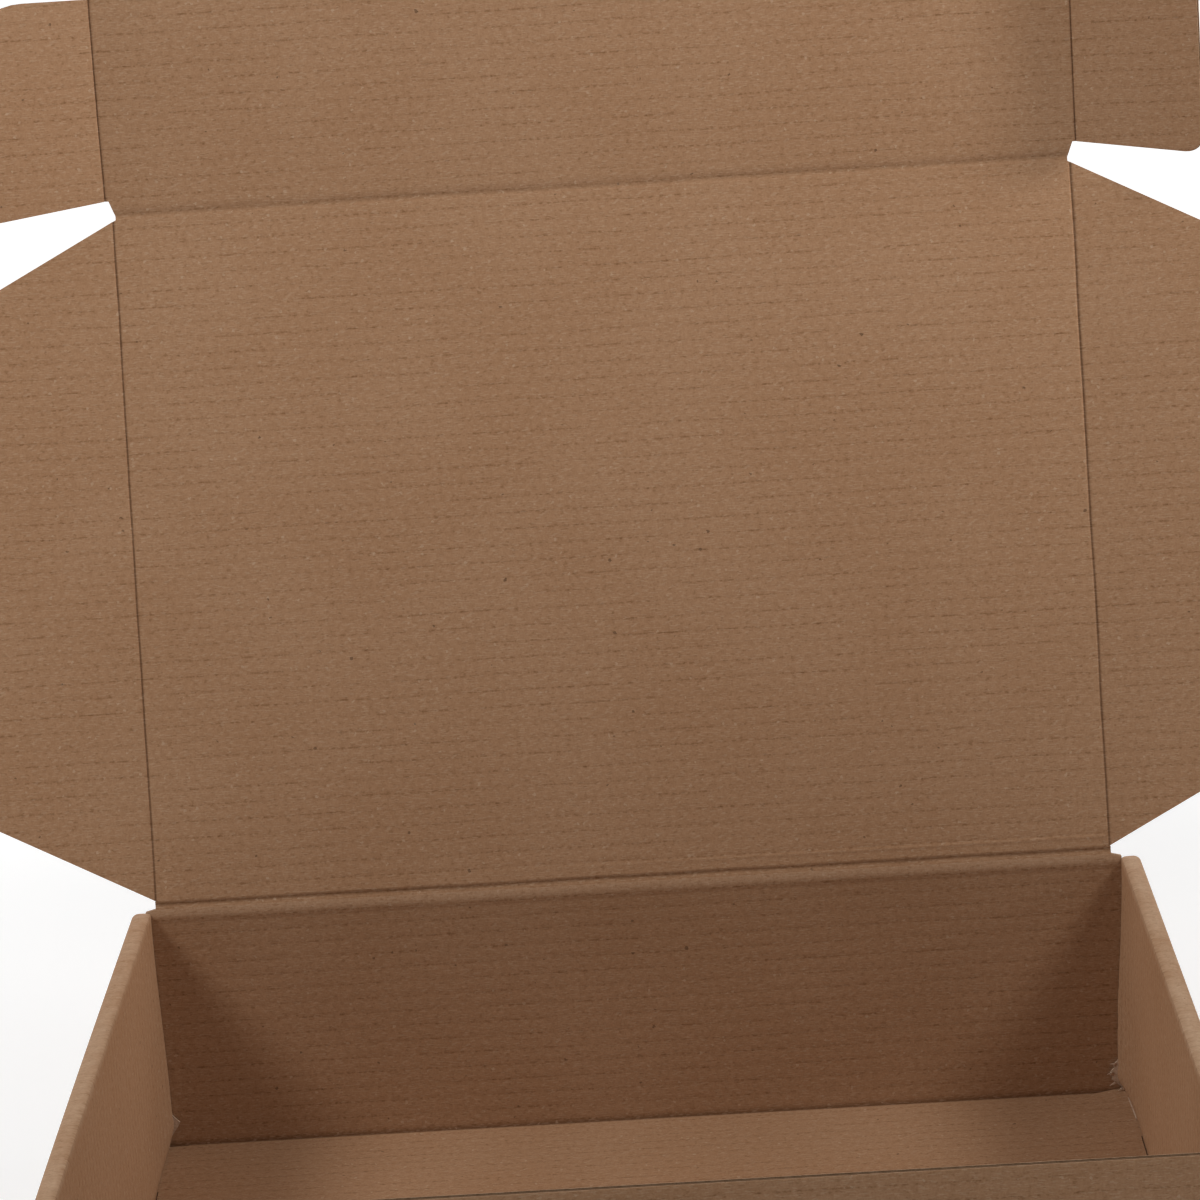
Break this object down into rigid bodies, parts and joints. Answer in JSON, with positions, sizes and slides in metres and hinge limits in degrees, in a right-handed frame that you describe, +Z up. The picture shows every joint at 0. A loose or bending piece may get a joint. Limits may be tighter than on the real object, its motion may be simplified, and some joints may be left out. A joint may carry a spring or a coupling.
{
  "type": "open cardboard mailing box",
  "caption": "Open mailing box folded from one sheet of brown corrugated board, with rolled double side walls, a hinged lid, side flaps and a tuck flap with ears.",
  "frame": {"origin": "centre of the tray's underside", "axes": "+Z up, +X across the box to the right of someone facing its front, +Y from the front wall to the lid's hinge"},
  "size_m": [0.5564, 0.3622, 0.4555],
  "materials": {
    "kraft_board": "matte uncoated kraft board with faint flute lines across the width"
  },
  "bodies": {
    "tray": {"tray": "kraft_board"},
    "lid": {"lid_panel": "kraft_board"},
    "left_dust": {"left_dust_flap": "kraft_board"},
    "right_dust": {"right_dust_flap": "kraft_board"},
    "tuck": {"tuck_flap": "kraft_board"},
    "left_ear": {"left_tuck_ear": "kraft_board"},
    "right_ear": {"right_tuck_ear": "kraft_board"}
  },
  "joints": [
    {"name": "lid_hinge", "type": "hinge", "parent": "tray", "child": "lid", "pos_m": [0, 0.13812, 0.10552], "axis": [-1, 0, 0], "range_deg": [-105.5, 74.5]},
    {"name": "left_dust_hinge", "type": "hinge", "parent": "lid", "child": "left_dust", "pos_m": [-0.18845, 0.13812, 0.10552], "axis": [0, -0.2672, -0.9636], "range_deg": [-85, 5]},
    {"name": "right_dust_hinge", "type": "hinge", "parent": "lid", "child": "right_dust", "pos_m": [0.18845, 0.13812, 0.10552], "axis": [0, 0.2672, 0.9636], "range_deg": [-85, 5]},
    {"name": "tuck_hinge", "type": "hinge", "parent": "lid", "child": "tuck", "pos_m": [0, 0.21093, 0.36808], "axis": [-1, 0, 0], "range_deg": [-82, 8]},
    {"name": "left_ear_hinge", "type": "hinge", "parent": "tuck", "child": "left_ear", "pos_m": [-0.19135, 0.21093, 0.36808], "axis": [0, -0.1305, -0.9914], "range_deg": [-72, 18]},
    {"name": "right_ear_hinge", "type": "hinge", "parent": "tuck", "child": "right_ear", "pos_m": [0.19135, 0.21093, 0.36808], "axis": [0, 0.1305, 0.9914], "range_deg": [-63, 27]}
  ]
}
